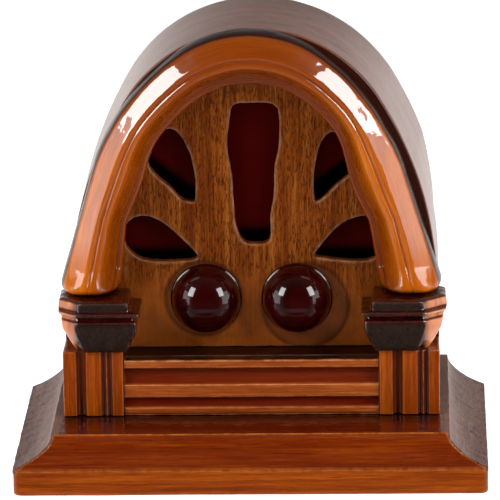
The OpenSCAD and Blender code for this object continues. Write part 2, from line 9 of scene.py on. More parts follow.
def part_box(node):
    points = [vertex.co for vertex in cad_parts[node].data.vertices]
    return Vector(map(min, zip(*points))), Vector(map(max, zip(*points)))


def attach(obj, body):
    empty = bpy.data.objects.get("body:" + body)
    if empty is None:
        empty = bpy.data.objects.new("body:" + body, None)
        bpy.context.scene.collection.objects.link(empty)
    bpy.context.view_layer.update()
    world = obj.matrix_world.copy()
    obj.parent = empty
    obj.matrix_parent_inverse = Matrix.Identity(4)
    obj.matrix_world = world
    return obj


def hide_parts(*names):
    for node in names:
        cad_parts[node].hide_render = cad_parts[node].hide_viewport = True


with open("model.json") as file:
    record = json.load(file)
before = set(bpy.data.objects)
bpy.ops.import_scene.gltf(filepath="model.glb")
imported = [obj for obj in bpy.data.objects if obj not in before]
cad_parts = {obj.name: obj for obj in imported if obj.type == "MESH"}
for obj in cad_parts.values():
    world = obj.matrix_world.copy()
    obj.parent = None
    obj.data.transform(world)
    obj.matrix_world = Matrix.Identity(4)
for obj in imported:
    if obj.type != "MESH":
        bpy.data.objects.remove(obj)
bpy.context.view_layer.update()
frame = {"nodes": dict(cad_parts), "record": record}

# Looks for the cathedral radio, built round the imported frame

MM = 0.001
CABINET = "cabinet"


# ---- Places, in millimetres ----


def box_mm(node):
    """Lowest and highest corner of a CAD node, in millimetres."""
    low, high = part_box(node)
    return low / MM, high / MM


base_low, base_high = box_mm("base_board")
core_low, core_high = box_mm("plinth_core")
shell_low, shell_high = box_mm("cabinet_shell")
panel_low, panel_high = box_mm("grille_panel")
trim_low, trim_high = box_mm("arch_trim")
ledge_low, ledge_high = box_mm("ledge_board")
reeded_low, reeded_high = box_mm("reeded_panel")
capital_low = box_mm("capital_right")[0]
cap_high = box_mm("capital_cap_right")[1]
cloth_low, cloth_high = box_mm("grille_cloth")

half_w = base_high.x
half_d = base_high.y
face_y = panel_low.y
shell_t = shell_high.x - panel_high.x
capital_top = cap_high.z
CAPITAL_DROP = 2.2
capital_foot = capital_low.z - CAPITAL_DROP
KNOBS = ((-31, 114), (31, 114))
SHAFT_HOLE_R = 6.2


# ---- Outlines ----


def arch_right(foot, lean_deg, haunch_r, crown_r, top, inset=0.0, steps=28):
    """An arch's right half, foot to crown: a straight leg, a haunch arc and a crown arc."""
    lean = math.radians(lean_deg)
    n = Vector((math.cos(lean), math.sin(lean)))
    crown = Vector((0, top - crown_r))
    reach = n.dot(foot)
    spread = haunch_r - crown_r
    turn = lean - math.acos((reach - haunch_r - n.dot(crown)) / spread)
    haunch = crown + spread * Vector((math.cos(turn), math.sin(turn)))
    joint = turn + math.pi
    points = [Vector(((reach - inset - n.y * foot.y) / n.x, foot.y))]
    for i in range(steps + 1):
        a = lean + (joint - lean) * i / steps
        points.append(haunch + (haunch_r - inset) * Vector((math.cos(a), math.sin(a))))
    for i in range(1, steps + 1):
        a = joint + (math.pi / 2 - joint) * i / steps
        points.append(crown + (crown_r - inset) * Vector((math.cos(a), math.sin(a))))
    return points


def full_arch(right):
    """Both halves, anticlockwise from the right foot to the left one."""
    return right + [Vector((-p.x, p.y)) for p in reversed(right[:-1])]


def shell_arch(inset):
    """The cabinet's arch above its straight sides."""
    foot = Vector((shell_high.x, 110))
    return full_arch(
        arch_right(foot, lean_deg=0, haunch_r=272, crown_r=103.5, top=shell_high.z, inset=inset)
    )


def to_foot(arch, x, z):
    """The arch with its two ends carried down to z."""
    return [Vector((x, z)), *arch, Vector((-x, z))]


def fade(start, end, value):
    """0 at start, 1 at end, and a straight change between them."""
    return min(1.0, max(0.0, (value - start) / (end - start)))


def hump(middle, reach, value):
    """1 at the middle, falling smoothly to 0 at reach from it."""
    return 0.5 + 0.5 * math.cos(math.pi * min(1.0, abs(value - middle) / reach))


def trim_outer():
    """The moulding's outside, carved a little fuller down both legs."""
    foot = Vector((trim_high.x, capital_top))
    right = arch_right(foot, lean_deg=16.2, haunch_r=140, crown_r=84, top=trim_high.z)
    made = []
    for p in full_arch(right):
        more = 3.6 * fade(275, 215, p.y) if p.x < 0 else 3.8 * fade(235, 195, p.y)
        made.append(Vector((p.x + math.copysign(more, p.x), p.y)))
    return made


def trim_inner():
    """The moulding's inside, which is straighter on the right than on the left."""
    foot = Vector((92, capital_top))
    right = arch_right(foot, lean_deg=8, haunch_r=130, crown_r=62, top=264)
    made = []
    for p in full_arch(right):
        if p.x < 0:
            less = 5 * hump(193, 36, p.y) + 2.4 * fade(150, 128, p.y)
        else:
            less = 10.5 * hump(192, 48, p.y) + 3.8 * fade(150, 128, p.y)
        made.append(Vector((p.x - math.copysign(less, p.x), p.y)))
    return made


def smooth(controls, steps=8):
    """A smooth closed outline inside its control points, by a quadratic spline."""
    n = len(controls)
    points = []
    for i in range(n):
        a = (Vector(controls[i]) + Vector(controls[(i + 1) % n])) / 2
        b = Vector(controls[(i + 1) % n])
        c = (Vector(controls[(i + 1) % n]) + Vector(controls[(i + 2) % n])) / 2
        for k in range(steps):
            t = k / steps
            points.append((1 - t) ** 2 * a + 2 * t * (1 - t) * b + t * t * c)
    return points


def rounded_box(low, high, r, steps=6):
    """A rectangle with rounded corners, anticlockwise."""
    points = []
    corners = ((high[0], high[1]), (low[0], high[1]), (low[0], low[1]), (high[0], low[1]))
    for k, (x, y) in enumerate(corners):
        cx = x - math.copysign(r, x - (low[0] + high[0]) / 2)
        cy = y - math.copysign(r, y - (low[1] + high[1]) / 2)
        for i in range(steps + 1):
            a = math.pi / 2 * (k + i / steps)
            points.append(Vector((cx + r * math.cos(a), cy + r * math.sin(a))))
    return points


def length_of(line):
    return sum((q - p).length for p, q in zip(line, line[1:]))


def resampled(points, spacing, closed=False):
    """The same line with points an even distance apart."""
    line = list(points) + ([points[0]] if closed else [])
    lengths = [0.0]
    for p, q in zip(line, line[1:]):
        lengths.append(lengths[-1] + (q - p).length)
    count = max(3, round(lengths[-1] / spacing))
    made = []
    k = 0
    for i in range(count if closed else count + 1):
        at = lengths[-1] * i / count
        while k < len(lengths) - 2 and lengths[k + 1] < at:
            k += 1
        span = lengths[k + 1] - lengths[k]
        made.append(line[k].lerp(line[k + 1], (at - lengths[k]) / span if span else 0))
    return made


def is_anticlockwise(points):
    pairs = zip(points, points[1:] + points[:1])
    return sum(p.x * q.y - q.x * p.y for p, q in pairs) > 0


# Control points of the five cut-outs, x and z. They were cut by hand, so no two are alike
SLOT = [
    (12, 152), (14, 160), (13, 172), (16.5, 185), (16, 205), (20, 218), (20.5, 238), (18.5, 249.5),
    (2, 250), (-12, 249.5), (-13.5, 238), (-16, 218), (-12, 200), (-11.5, 180), (-10.5, 164),
    (-6, 152.5), (3, 151),
]
UPPER_LEAF_LEFT = [
    (-37.5, 181), (-37, 196), (-40, 214), (-47, 228), (-53, 233), (-61, 230), (-70, 212),
    (-68, 203), (-57, 193.5), (-51.5, 188), (-47, 182), (-38.5, 181),
]
UPPER_LEAF_RIGHT = [
    (43.5, 181), (43, 199), (46.5, 217), (51, 226), (56, 230), (61, 226), (70, 212), (70, 201),
    (59, 193), (49, 182.5), (44.5, 180.5),
]
LOWER_LEAF_LEFT = [
    (-36, 143), (-41, 149), (-54, 162), (-66, 171), (-79, 171.5), (-87, 164), (-86.5, 150),
    (-76, 140.5), (-58, 139), (-42, 140), (-37, 141.5),
]
LOWER_LEAF_RIGHT = [
    (42, 142.5), (49, 152), (59, 163.5), (70, 169.5), (80, 171), (86, 164), (91, 147), (82, 138.5),
    (64, 139), (46, 141.5),
]


# ---- Mesh building ----


def linked(name, data):
    """A new object in the scene."""
    obj = bpy.data.objects.new(name, data)
    bpy.context.scene.collection.objects.link(obj)
    return obj


def new_object(name, verts, faces):
    """A mesh object from points in millimetres."""
    mesh = bpy.data.meshes.new(name)
    mesh.from_pydata([Vector(v) * MM for v in verts], [], faces)
    mesh.validate()
    return linked(name, mesh)


def outward(mesh, weld=0):
    """Turns every face of a closed mesh outward, and joins points closer than weld metres."""
    bm = bmesh.new()
    bm.from_mesh(mesh)
    if weld:
        bmesh.ops.remove_doubles(bm, verts=bm.verts, dist=weld)
    bmesh.ops.recalc_face_normals(bm, faces=bm.faces)
    bm.to_mesh(mesh)
    bm.free()


# How a prism stands: its outline's u and v, and w through its thickness


def upright(u, v, w):
    return (u, w, v)


def along_x(u, v, w):
    return (w, u, v)


def along_z(u, v, w):
    return (u, v, w)


def inset_loop(points, d):
    """Moves each point of a closed loop d to its left, which is into the material."""
    moved = []
    n = len(points)
    for i, p in enumerate(points):
        tangent = (points[(i + 1) % n] - points[i - 1]).normalized()
        moved.append(p + d * Vector((-tangent.y, tangent.x)))
    return moved


def prism(name, outline, low, high, place, holes=(), edge=1.0, steps=3):
    """A board with rounded edges: an outline with holes, drawn in a plane and given a thickness."""
    outline = outline if is_anticlockwise(outline) else outline[::-1]
    holes = [h[::-1] if is_anticlockwise(h) else h for h in holes]
    quarter = [math.pi / 2 * k / steps for k in range(steps + 1)]
    start = [(edge * (1 - math.sin(a)), low + edge * (1 - math.cos(a))) for a in quarter]
    levels = start + [(inset, low + high - w) for inset, w in reversed(start)]
    bm = bmesh.new()
    ends = [[], []]
    for loop in [outline, *holes]:
        rings = []
        for inset, w in levels:
            ring = inset_loop(loop, inset)
            rings.append([bm.verts.new(Vector(place(p.x, p.y, w)) * MM) for p in ring])
        count = len(loop)
        for a, b in zip(rings, rings[1:]):
            for i in range(count):
                bm.faces.new((a[i], a[(i + 1) % count], b[(i + 1) % count], b[i]))
        for end, ring in zip(ends, (rings[0], rings[-1])):
            end += [bm.edges.get((ring[i], ring[(i + 1) % count])) for i in range(count)]
    for end in ends:
        bmesh.ops.triangle_fill(bm, use_beauty=True, edges=end)
    bmesh.ops.recalc_face_normals(bm, faces=bm.faces)
    mesh = bpy.data.meshes.new(name)
    bm.to_mesh(mesh)
    bm.free()
    return linked(name, mesh)


def stacked(name, rings):
    """A closed solid from rings with the same number of points, capped at both ends."""
    count = len(rings[0])
    verts = [p for ring in rings for p in ring]
    faces = []
    for k in range(len(rings) - 1):
        for i in range(count):
            j = (i + 1) % count
            faces.append((k * count + i, k * count + j, (k + 1) * count + j, (k + 1) * count + i))
    faces.append(tuple(range(count)))
    faces.append(tuple(range((len(rings) - 1) * count, len(rings) * count)))
    obj = new_object(name, verts, faces)
    outward(obj.data)
    return obj


def turned(name, profile, centre):
    """A body turned about an axis along Y through centre, from (radius, y) points in order."""
    segments = 96
    verts = []
    for i in range(segments):
        a = 2 * math.pi * i / segments
        for r, y in profile:
            verts.append((centre[0] + r * math.cos(a), y, centre[1] + r * math.sin(a)))
    n = len(profile)
    faces = []
    for i in range(segments):
        j = (i + 1) % segments
        for k in range(n - 1):
            faces.append((i * n + k, i * n + k + 1, j * n + k + 1, j * n + k))
    obj = new_object(name, verts, faces)
    outward(obj.data, weld=1e-7)
    return obj


def settle(obj):
    """Makes the modifiers' result the object's own mesh."""
    bpy.context.view_layer.update()
    shaped = obj.evaluated_get(bpy.context.evaluated_depsgraph_get())
    mesh = bpy.data.meshes.new_from_object(shaped)
    obj.modifiers.clear()
    old = obj.data
    obj.data = mesh
    bpy.data.meshes.remove(old)
    mesh.name = obj.name


def hand_worked(obj, voxel, relax, wobble, reach, seed=0):
    """Rounds a plain solid over, as thick lacquer does, and takes its straightness away."""
    remesh = obj.modifiers.new("remesh", "REMESH")
    remesh.mode = "VOXEL"
    remesh.voxel_size = voxel * MM * 1
    relaxed = obj.modifiers.new("relax", "SMOOTH")
    relaxed.iterations = relax
    settle(obj)
    shove(obj, wobble, reach, seed)


def shove(obj, amount, reach, seed=0):
    """Moves each point along its normal by a smooth noise."""
    shift = Vector((seed * 3.1, seed * 1.7, seed * 2.3))
    normals = [n.vector.copy() for n in obj.data.vertex_normals]
    for v, normal in zip(obj.data.vertices, normals):
        at = v.co / (reach * MM) + shift
        size = noise.noise(at) + 0.4 * noise.noise(at * 2.7)
        v.co += normal * (size * amount * MM)
    obj.data.update()


def finish_piece(obj, material, node, body=CABINET, smooth_angle=180):
    """Gives a piece its material, shading and body, and hides the CAD node that it stands for."""
    obj.data.materials.clear()
    obj.data.materials.append(material)
    obj.data.shade_smooth()
    if smooth_angle < 180:
        obj.data.set_sharp_from_angle(angle=math.radians(smooth_angle))
    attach(obj, body)
    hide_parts(node)


# ---- Material graphs ----


class Graph:
    """A node material that is written from its inputs towards its surface."""

    library = "materials"
    kinds = ("ShaderNodeOutputMaterial", "ShaderNodeBsdfPrincipled")
    space = "Object"

    def __init__(self, name):
        self.material = getattr(bpy.data, self.library).new(name)
        self.material.use_nodes = True
        self.tree = self.material.node_tree
        self.tree.nodes.clear()
        output, self.shader = [self.node(kind) for kind in self.kinds]
        self.tree.links.new(self.shader.outputs[0], output.inputs["Surface"])
        self.coordinates = self.node("ShaderNodeTexCoord").outputs[self.space]

    def node(self, kind, **settings):
        made = self.tree.nodes.new(kind)
        for name, value in settings.items():
            setattr(made, name, value)
        return made

    def plug(self, value, socket):
        if isinstance(value, bpy.types.NodeSocket):
            self.tree.links.new(value, socket)
        elif hasattr(value, "__len__") and len(value) == 3 and socket.type == "RGBA":
            socket.default_value = (*value, 1)
        else:
            socket.default_value = value

    def surface(self, **values):
        for name, value in values.items():
            self.plug(value, self.shader.inputs[name.replace("_", " ")])

    def stretched(self, scale, source=None):
        mapping = self.node("ShaderNodeMapping")
        self.plug(source or self.coordinates, mapping.inputs["Vector"])
        mapping.inputs["Scale"].default_value = scale if isinstance(scale, tuple) else (scale,) * 3
        return mapping.outputs[0]

    def noise(self, scale, source=None, detail=3, rough=0.55, distortion=0.0):
        made = self.node("ShaderNodeTexNoise")
        self.plug(self.stretched(scale, source), made.inputs["Vector"])
        made.inputs["Scale"].default_value = 1
        made.inputs["Detail"].default_value = detail
        made.inputs["Roughness"].default_value = rough
        made.inputs["Distortion"].default_value = distortion
        return made.outputs["Fac"]

    def ramp(self, value, *stops, smooth=False):
        """Each stop is (place, colour or grey)."""
        made = self.node("ShaderNodeValToRGB")
        self.plug(value, made.inputs["Fac"])
        line = made.color_ramp
        line.interpolation = "EASE" if smooth else "LINEAR"
        while len(line.elements) < len(stops):
            line.elements.new(0.5)
        for element, (place, colour) in zip(line.elements, stops):
            element.position = place
            grey = isinstance(colour, (int, float))
            element.color = (colour, colour, colour, 1) if grey else (*colour, 1)
        return made.outputs["Color"]

    def mix(self, factor, a, b, blend="MIX"):
        made = self.node("ShaderNodeMix", data_type="RGBA", blend_type=blend)
        self.plug(factor, made.inputs["Factor"])
        self.plug(a, made.inputs["A"])
        self.plug(b, made.inputs["B"])
        return made.outputs["Result"]

    def maths(self, operation, a, b=0.5, clamp=False):
        made = self.node("ShaderNodeMath", operation=operation, use_clamp=clamp)
        self.plug(a, made.inputs[0])
        self.plug(b, made.inputs[1])
        return made.outputs[0]

    def times(self, a, b):
        return self.maths("MULTIPLY", a, b)

    def plus(self, a, b):
        return self.maths("ADD", a, b)

    def minus(self, a, b):
        return self.maths("SUBTRACT", a, b)

    def wave(self, axis, scale, distortion=0.0):
        """Evenly spaced lines across one axis."""
        made = self.node("ShaderNodeTexWave", bands_direction=axis)
        self.plug(self.stretched(scale), made.inputs["Vector"])
        made.inputs["Scale"].default_value = 1
        made.inputs["Distortion"].default_value = distortion
        return made.outputs["Fac"]

    def attribute(self, name):
        """Vectors that a piece's points carry."""
        return self.node("ShaderNodeAttribute", attribute_name=name).outputs["Vector"]

    def part(self, vector, axis):
        """A vector's share along one axis."""
        split = self.node("ShaderNodeSeparateXYZ")
        self.plug(vector, split.inputs[0])
        return split.outputs[axis]

    def tint(self, colour, mask, strength, other):
        return self.mix(self.times(mask, strength), colour, other)

    def spread(self, value, low, high):
        """A ramp over the part of a noise's range that it mostly stays in."""
        return self.ramp(value, (0.3, low), (0.7, high))

    def bump(self, height, distance, strength=1.0, normal=None):
        made = self.node("ShaderNodeBump")
        self.plug(height, made.inputs["Height"])
        made.inputs["Distance"].default_value = distance
        made.inputs["Strength"].default_value = strength
        if normal:
            self.plug(normal, made.inputs["Normal"])
        return made.outputs["Normal"]

    def pointiness(self):
        """Above a half on outside corners and under it in hollows."""
        return self.node("ShaderNodeNewGeometry").outputs["Pointiness"]

    def facing(self, axis):
        """How far the surface faces along one axis of the object, from -1 to 1."""
        return self.part(self.node("ShaderNodeNewGeometry").outputs["Normal"], axis)

    def place(self, axis):
        return self.part(self.coordinates, axis)


class SkyGraph(Graph):
    """The same for the world, whose coordinates are directions."""

    library = "worlds"
    kinds = ("ShaderNodeOutputWorld", "ShaderNodeBackground")
    space = "Generated"


def along(axis, across, length):
    """A noise scale that is fine across the grain and long along it, per metre."""
    return tuple(length if k == axis else across for k in "XYZ")


def wood(
    name,
    deep,
    mid,
    pale,
    axis="Z",
    source_attribute=None,
    pores=0.35,
    roughness=(0.3, 0.42),
    specular=0.04,
    coat=1.0,
    coat_roughness=0.05,
    coat_ior=1.3,
    edges=None,
    grain=1.0,
    ripple=0.25,
    darkening=None,
    rim=None,
    painted_light_foot=False,
    dashes=None,
):
    """Lacquered wood: broad figure, fine fibres, pores, darkened places and worn edges; on some
    pieces the darkening is painted shade, and a paler foot is painted light.
    """
    g = Graph(name)
    source = g.attribute(source_attribute) if source_attribute else None
    figure = g.noise(along(axis, 95 * grain, 6 * grain), source, detail=4, distortion=0.7)
    fibre = g.noise(along(axis, 900 * grain, 38 * grain), source, detail=5, rough=0.65)
    streak = g.noise(along(axis, 300 * grain, 9 * grain), source, detail=3)
    tone = g.mix(0.4, g.mix(0.45, figure, streak), fibre)
    colour = g.ramp(tone, (0.33, deep), (0.5, mid), (0.66, pale))
    pits = g.noise(along(axis, 1500 * grain, 95 * grain), source, detail=2, rough=0.5)
    pit_mask = g.ramp(pits, (0.6, 0.0), (0.7, 1.0))
    dark = tuple(c * 0.25 for c in deep)
    colour = g.tint(colour, pit_mask, pores, dark)
    point = g.pointiness()
    if dashes:
        fine, long, strength, upper = dashes
        flecks = g.noise(along(axis, fine, long), source, detail=2)
        short = g.ramp(flecks, (0.54, 0.0), (0.6, strength))
        low_down = g.ramp(g.place("Z"), (0.023, 1.0), (0.037, upper))
        colour = g.tint(colour, short, low_down, dark)
    if painted_light_foot:
        # Painted light: paler in patches towards the panel's foot, to lift the shade that falls
        # there
        foot = g.ramp(g.place("Z"), (0.098, 1.0), (0.14, 0.0), smooth=True)
        patchy_painted_light = g.times(foot, g.ramp(g.noise(28, detail=2), (0.35, 0.35), (0.6, 1.0)))
        colour = g.mix(patchy_painted_light, colour, g.mix(0.75, colour, (0.36, 0.085, 0.009)))
    if darkening:
        # Darkened where the points say: a painted shadow on the plinth top, painted shade in and
        # above the reeds, and elsewhere only darker
        cut = g.attribute("darkening")
        uneven = g.times(g.part(cut, "X"), g.ramp(figure, (0.3, 0.8), (0.6, 1.0)))
        colour = g.mix(uneven, colour, darkening)
        colour = g.mix(g.part(cut, "Y"), colour, tuple(c * 0.12 for c in darkening))
    if edges:
        edge = g.ramp(point, (0.508, 0.0), (0.56, 1.0))
        broken = g.times(edge, g.ramp(g.noise(160), (0.35, 0.3), (0.6, 1.0)))
        colour = g.tint(colour, broken, edges[1], edges[0])
    if rim:
        front = g.ramp(g.times(g.facing("Y"), -1.0), (0.6, 0.0), (0.85, 1.0))
        colour = g.mix(front, colour, rim)
    height = g.mix(0.5, fibre, g.minus(1.0, pit_mask))
    rough = g.spread(fibre, roughness[0], roughness[1])
    lacquer = g.noise(70, detail=2)
    g.surface(
        Base_Color=colour,
        Roughness=rough,
        Specular_IOR_Level=specular,
        Normal=g.bump(height, 0.0003, 0.55),
        Coat_Weight=coat,
        Coat_Roughness=coat_roughness,
        Coat_IOR=coat_ior,
        Coat_Normal=g.bump(lacquer, 0.0012, ripple, g.bump(height, 0.0002, 0.18)),
    )
    return g.material


def plain(name, colour, roughness, metallic=0.0, variety=0.15, speck=400, bump=0.00005, **extra):
    """A painted, moulded or metal surface: small changes of colour, roughness and height."""
    g = Graph(name)
    cloud = g.noise(45, detail=4)
    fine = g.noise(speck, detail=3)
    low = tuple(c * (1 - variety) for c in colour)
    high = tuple(min(1, c * (1 + variety)) for c in colour)
    base = g.spread(cloud, low, high)
    edge = g.ramp(g.pointiness(), (0.51, 0.0), (0.6, 0.5))
    base = g.mix(edge, base, tuple(min(1, c * 1.5 + 0.02) for c in colour))
    rough = g.spread(g.mix(0.5, cloud, fine), roughness * 0.8, min(1, roughness * 1.2))
    g.surface(
        Base_Color=base,
        Roughness=rough,
        Metallic=metallic,
        Normal=g.bump(fine, bump, 0.6),
        **extra,
    )
    return g.material


# ---- Wood materials ----

AMBER = ((0.17, 0.026, 0.0003), (0.29, 0.06, 0.0003), (0.42, 0.107, 0.0005))


def trim_material():
    """Amber hardwood under thick lacquer, browner on the inner slope and at the crown."""
    g = Graph("trim_wood")
    run = g.attribute("grain")
    figure = g.noise((5, 90, 50), run, detail=3, distortion=0.5)
    fibre = g.noise((30, 500, 400), run, detail=3, rough=0.5)
    colour = g.ramp(g.mix(0.25, figure, fibre), (0.28, AMBER[0]), (0.5, AMBER[1]), (0.72, AMBER[2]))
    across = g.part(g.attribute("profile"), "X")
    inner = g.ramp(across, (0.0, 1.0), (0.22, 0.9), (0.42, 0.0))
    colour = g.tint(colour, inner, 0.8, (0.1, 0.012, 0.0003))
    lip = g.ramp(across, (0.085, 0.0), (0.105, 1.0), (0.135, 0.0))
    colour = g.tint(colour, lip, 0.7, (0.03, 0.003, 0.0005))
    groove = g.ramp(across, (0.5, 0.0), (0.525, 1.0), (0.55, 0.0))
    colour = g.tint(colour, groove, 0.45, (0.16, 0.03, 0.0005))
    crown = g.ramp(g.place("Z"), (0.21, 0.0), (0.275, 1.0), smooth=True)
    colour = g.tint(colour, crown, 0.8, (0.13, 0.02, 0.0003))
    rim = g.ramp(across, (0.94, 0.0), (0.965, 1.0))
    colour = g.mix(rim, colour, (0.022, 0.004, 0.001))
    foot = g.ramp(g.place("Z"), (0.135, 0.3), (0.165, 1.0), smooth=True)
    lacquer = g.noise(45, detail=3)
    g.surface(
        Base_Color=colour,
        Roughness=g.spread(fibre, 0.22, 0.34),
        Specular_IOR_Level=0.1,
        Normal=g.bump(fibre, 0.0002, 0.3),
        Coat_Weight=g.times(foot, g.minus(1.0, rim)),
        Coat_Roughness=0.03,
        Coat_IOR=1.55,
        Coat_Normal=g.bump(lacquer, 0.0014, 0.22),
    )
    return g.material


def capital_material():
    """Dark red-brown lacquer with worn grey-black front faces and amber outer ends."""
    g = Graph("capital_wood")
    streaks = g.noise((60, 200, 300))
    red = g.ramp(streaks, (0.35, (0.007, 0.0003, 0.0003)), (0.65, (0.028, 0.001, 0.0007)))
    worn = g.noise(400, detail=4)
    grey = g.spread(worn, (0.007, 0.0033, 0.002), (0.019, 0.009, 0.0056))
    wavy = g.plus(g.place("Z"), g.times(g.noise(110), 0.003))
    lower = g.ramp(wavy, (0.0, 1.0), (0.1079, 1.0), (0.1085, 0.0))
    upper = g.ramp(wavy, (0.1165, 0.0), (0.117, 1.0), (0.1222, 1.0), (0.1227, 0.0))
    front = g.ramp(g.times(g.facing("Y"), -1.0), (0.78, 0.0), (0.86, 1.0))
    paint = g.times(front, g.maths("ADD", lower, upper, clamp=True))
    outside = g.maths("ABSOLUTE", g.place("X"))
    end = g.ramp(outside, (0.1195, 0.0), (0.1215, 1.0))
    amber = g.spread(g.noise((90, 90, 30)), (0.3, 0.07, 0.02), (0.62, 0.22, 0.09))
    upward = g.ramp(g.facing("Z"), (0.3, 1.0), (0.7, 0.1))
    colour = g.mix(g.times(g.times(end, upward), 0.85), red, amber)
    colour = g.mix(paint, colour, grey)
    edge = g.ramp(g.pointiness(), (0.51, 0.0), (0.57, 1.0))
    colour = g.tint(colour, edge, 0.3, (0.2, 0.09, 0.06))
    fine = g.noise(900, detail=4)
    g.surface(
        Base_Color=colour,
        Roughness=g.mix(paint, g.spread(fine, 0.2, 0.32), (0.62, 0.62, 0.62)),
        Normal=g.bump(fine, 0.0003, 0.35),
        Specular_IOR_Level=0.08,
        Coat_Weight=g.ramp(paint, (0.0, 1.0), (1.0, 0.05)),
        Coat_Roughness=0.04,
        Coat_IOR=1.45,
        Coat_Normal=g.bump(g.noise(120), 0.001, 0.3),
    )
    return g.material


WOODS = {
    "base": wood(
        "base_wood", (0.075, 0.009, 0.0003), (0.165, 0.026, 0.0006), (0.28, 0.062, 0.002), axis="X",
        edges=((0.42, 0.12, 0.015), 0.35), roughness=(0.25, 0.35), coat_roughness=0.07,
    ),
    # The plinth top's darkening colour is a painted shadow
    "core": wood(
        "plinth_top_wood", (0.028, 0.0015, 0.0003), (0.07, 0.005, 0.0005), (0.13, 0.015, 0.001),
        axis="X", coat_roughness=0.08, ripple=0.5, darkening=(0.008, 0.0005, 0.0003),
    ),
    "cove": wood(
        "cove_wood", (0.052, 0.0045, 0.0002), (0.105, 0.0115, 0.0003), (0.18, 0.03, 0.001),
        axis="X", edges=((0.4, 0.12, 0.02), 0.8), coat_roughness=0.15, roughness=(0.3, 0.4),
    ),
    "cove_side": wood(
        "cove_side_wood", (0.05, 0.015, 0.008), (0.14, 0.058, 0.038), (0.23, 0.12, 0.088), axis="Y",
        pores=0.7, specular=0.12, coat=0.3, coat_roughness=0.3, coat_ior=1.5, roughness=(0.42, 0.6),
        grain=0.75, ripple=0.1, dashes=(640, 190, 0.8, 0.2),
    ),
    "shell": wood(
        "shell_wood", (0.062, 0.013, 0.004), (0.135, 0.036, 0.012), (0.23, 0.08, 0.034), axis="X",
        source_attribute="grain", pores=0.85, specular=0.05, roughness=(0.34, 0.5), grain=0.9,
        coat=0.6, coat_roughness=0.2, coat_ior=1.35, ripple=0.08, rim=(0.025, 0.0035, 0.001),
    ),
    "pilaster": wood(
        "pilaster_wood", (0.085, 0.01, 0.0004), (0.175, 0.027, 0.0006), (0.3, 0.065, 0.003),
        axis="Z", darkening=(0.04, 0.0045, 0.0008), edges=((0.48, 0.15, 0.03), 0.5),
        roughness=(0.25, 0.36), coat_roughness=0.04,
    ),
    # The reeds' darkening colour is painted shade
    "reeded": wood(
        "reeded_wood", (0.12, 0.016, 0.001), (0.23, 0.046, 0.006), (0.38, 0.11, 0.026), axis="X",
        darkening=(0.068, 0.0028, 0.0003), edges=((0.55, 0.24, 0.1), 0.9), coat_roughness=0.05,
    ),
    # Near black: a painted shadow on the ledge under the grille panel's overhang
    "ledge": wood(
        "ledge_wood_painted_shadow", (0.003, 0.0002, 0.0002), (0.008, 0.0004, 0.0004), (0.016, 0.0006, 0.0006),
        axis="X", coat=0.3, coat_roughness=0.06, edges=((0.16, 0.11, 0.08), 0.8),
    ),
    # The panel's paler foot is painted light
    "panel": wood(
        "panel_wood", (0.042, 0.0055, 0.0003), (0.105, 0.0215, 0.0014), (0.22, 0.066, 0.009),
        axis="Z", pores=0.9, coat=0.12, coat_roughness=0.2, roughness=(0.36, 0.5), ripple=0.12,
        specular=0.02, edges=((0.26, 0.16, 0.1), 0.7), painted_light_foot=True,
        dashes=(1050, 230, 0.6, 1.0), darkening=(0.075, 0.022, 0.009),
    ),
    "block": wood(
        "block_wood", (0.3, 0.17, 0.07), (0.48, 0.32, 0.16), (0.6, 0.44, 0.25), axis="Y",
        coat=0.0, roughness=(0.6, 0.75), specular=0.4,
    ),
    "board": wood(
        "board_wood", (0.2, 0.12, 0.06), (0.3, 0.2, 0.11), (0.4, 0.29, 0.17), axis="X",
        pores=0.15, coat=0.0, roughness=(0.65, 0.8), specular=0.4, grain=0.4,
    ),
}


# ---- Plinth ----

COVE_SUNK = 1.5
CHASSIS_BOLTS = [(x, y) for x in (-95, 95) for y in (20, 80)]
BOLT_HOLE_R = 2.6


def cove_section(run, rise, shelf=1.0):
    """Run in and rise of the cove, then a level shelf along its top."""
    sweep = 0.94 * run
    curve = []
    for angle in range(0, 91, 6):
        a = math.radians(angle)
        hollow, straight = 1 - math.cos(a), math.sin(a)
        curve.append((sweep * math.sin(a), (rise - 2) * (0.55 * hollow + 0.45 * straight) + 1))
    return [(0, -COVE_SUNK), *curve, (sweep, rise), (run + shelf, rise), (run + shelf, -COVE_SUNK)]


